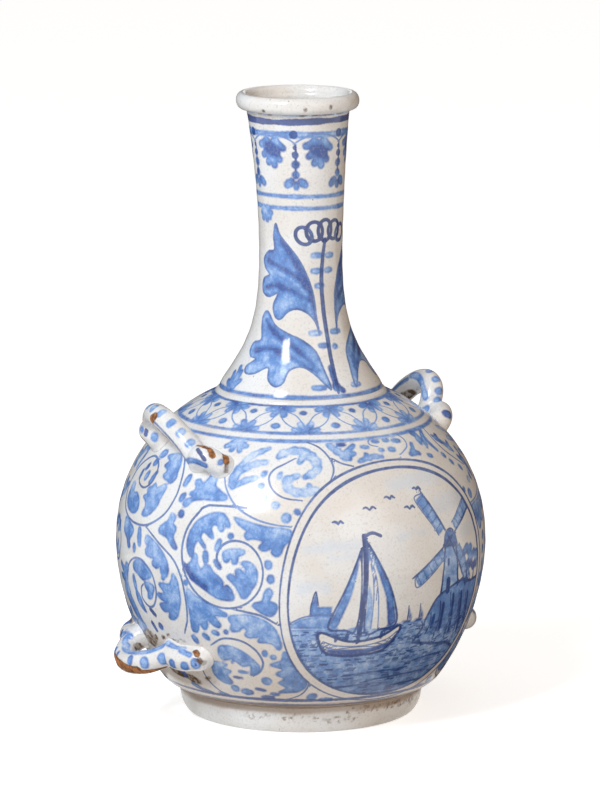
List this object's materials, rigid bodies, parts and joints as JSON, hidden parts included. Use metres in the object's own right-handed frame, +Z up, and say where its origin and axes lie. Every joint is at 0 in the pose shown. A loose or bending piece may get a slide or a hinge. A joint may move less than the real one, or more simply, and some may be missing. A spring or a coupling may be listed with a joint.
{
  "type": "bottle",
  "caption": "Tall round-bodied earthenware bottle with a flared neck, rolled lip, foot ring and coil loops for a carrying cord.",
  "frame": {"origin": "centre of the foot ring's underside, on the bottle's turning axis", "axes": "+Z up along the turning axis, -Y towards the middle of the round painted panel, the cord loops on the X axis"},
  "size_m": [0.2313, 0.2142, 0.36],
  "materials": {
    "painted_glaze": "glossy tin glaze painted in blue",
    "plain_glaze": "glossy cream-white tin glaze with pinholes",
    "worn_glaze": "glossy tin glaze with blue marks, chipped to the fired clay"
  },
  "bodies": {
    "root": {"foot_ring": "plain_glaze", "globe": "painted_glaze", "neck_band": "plain_glaze", "neck": "painted_glaze", "lip_roll": "plain_glaze", "handle_upper_left": "worn_glaze", "handle_upper_right": "worn_glaze", "handle_lower_left": "worn_glaze", "handle_lower_right": "worn_glaze"}
  },
  "joints": []
}
